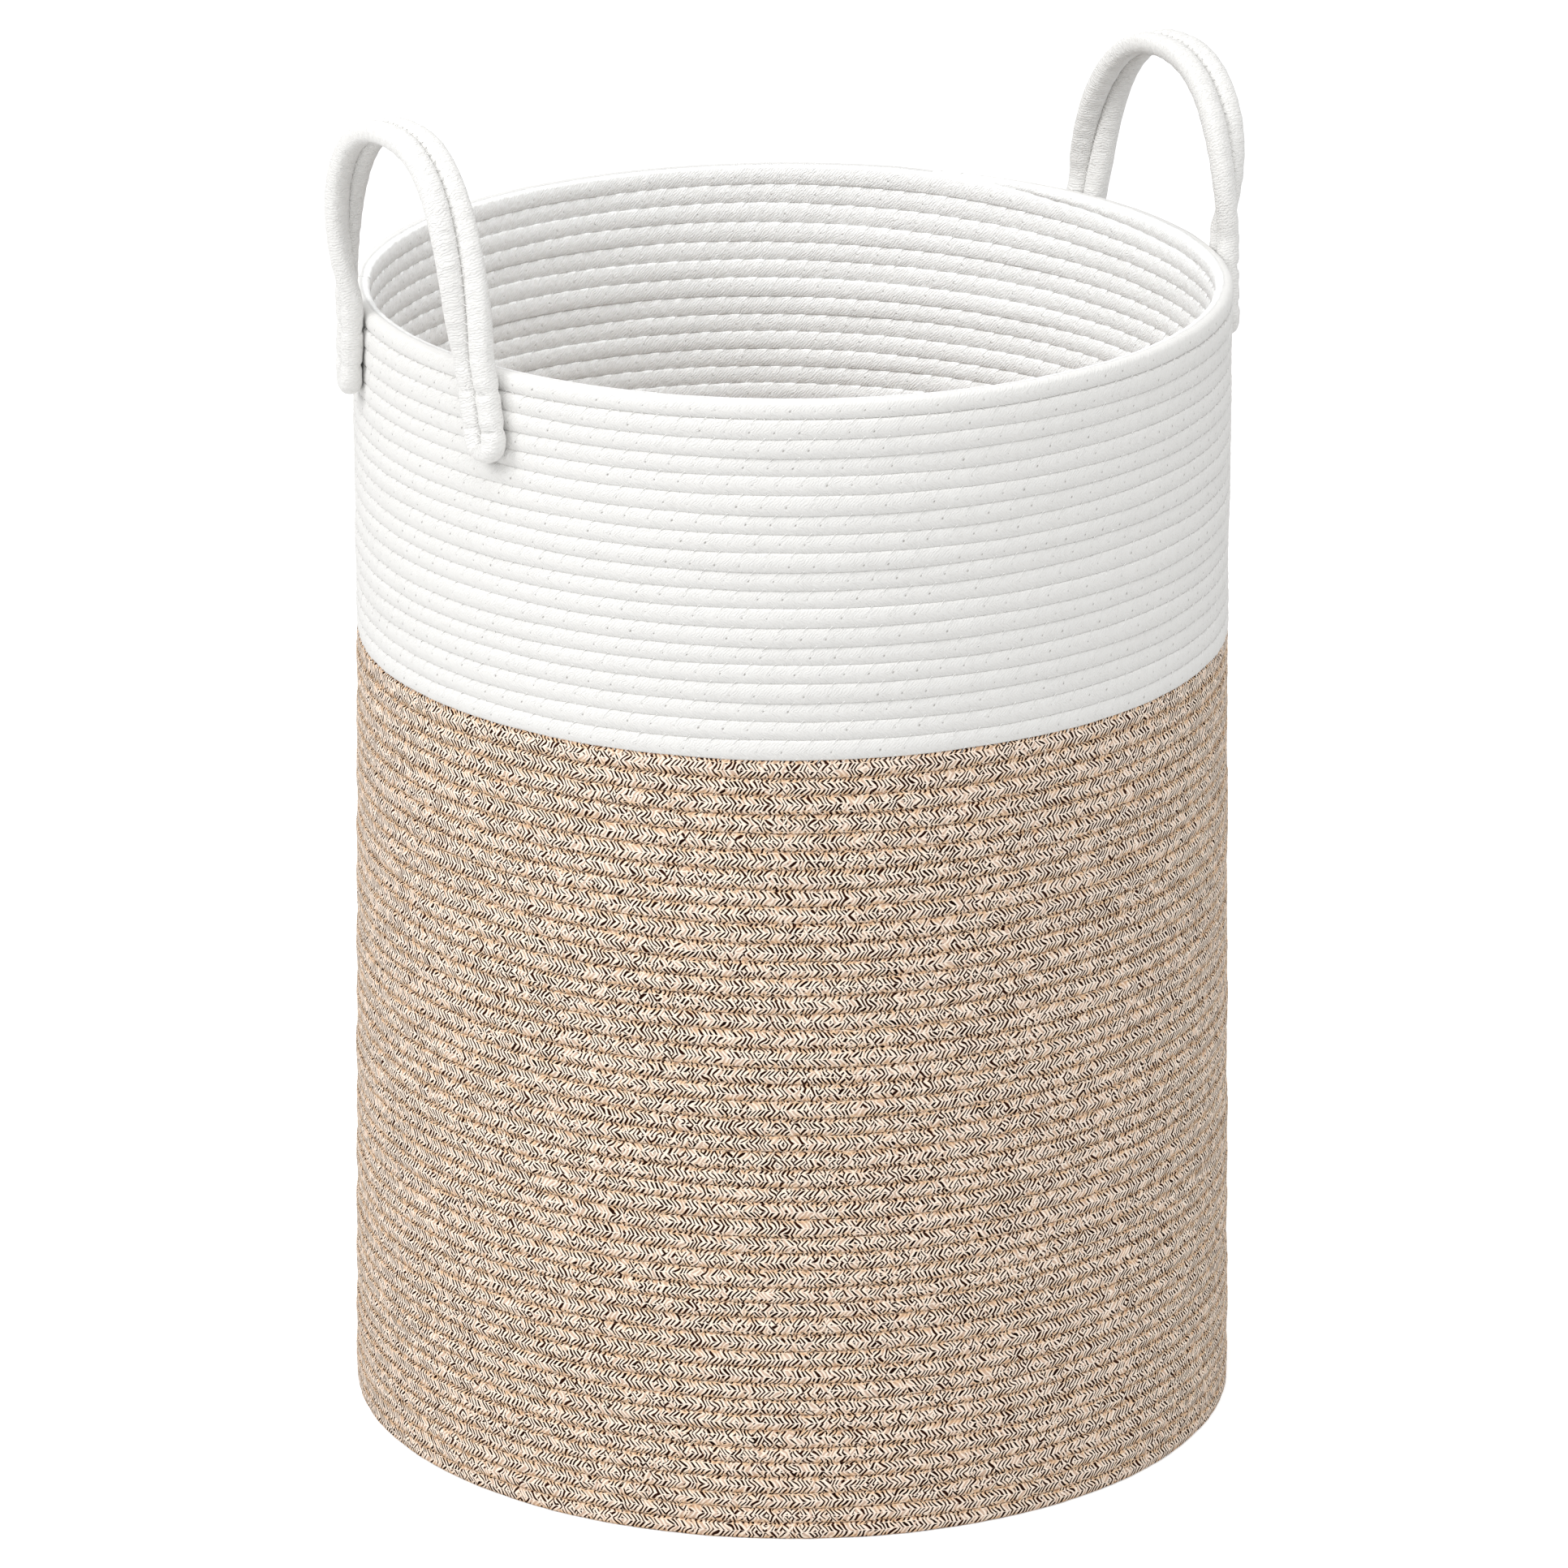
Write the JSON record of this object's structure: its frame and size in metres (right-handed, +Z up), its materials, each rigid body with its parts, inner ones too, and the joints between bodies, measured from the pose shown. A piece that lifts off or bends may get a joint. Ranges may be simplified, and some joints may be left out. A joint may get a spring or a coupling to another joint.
{
  "type": "woven laundry basket",
  "caption": "Tall round laundry basket of coiled and sewn cotton rope, white above and mottled below, with two rope handles that fold.",
  "frame": {"origin": "centre of the base where it meets the floor", "axes": "+Z up through the opening; the handles stand on the -X and +X sides, and fold about axes along Y"},
  "size_m": [0.4096, 0.3916, 0.6032],
  "materials": {
    "white_rope": "matte cotton rope",
    "mottled_rope": "matte braided cotton rope, cream, tan and dark brown",
    "handle_rope": "matte cotton rope"
  },
  "bodies": {
    "basket": {"base_coil": "mottled_rope", "lower_wall_coil": "mottled_rope", "upper_wall_coil": "white_rope", "rim_coil": "white_rope", "left_front_tab": "handle_rope", "left_back_tab": "handle_rope", "right_front_tab": "handle_rope", "right_back_tab": "handle_rope"},
    "left_handle": {"left_outer_strand": "handle_rope", "left_inner_strand": "handle_rope"},
    "right_handle": {"right_outer_strand": "handle_rope", "right_inner_strand": "handle_rope"}
  },
  "joints": [
    {"name": "left_handle_fold", "type": "hinge", "parent": "basket", "child": "left_handle", "pos_m": [-0.18821, 0, 0.5135], "axis": [0, -1, 0], "range_deg": [-90, 140], "stiffness_Nm_per_rad": 0.08},
    {"name": "right_handle_fold", "type": "hinge", "parent": "basket", "child": "right_handle", "pos_m": [0.18821, 0, 0.5135], "axis": [0, 1, 0], "range_deg": [-90, 140], "stiffness_Nm_per_rad": 0.08}
  ]
}
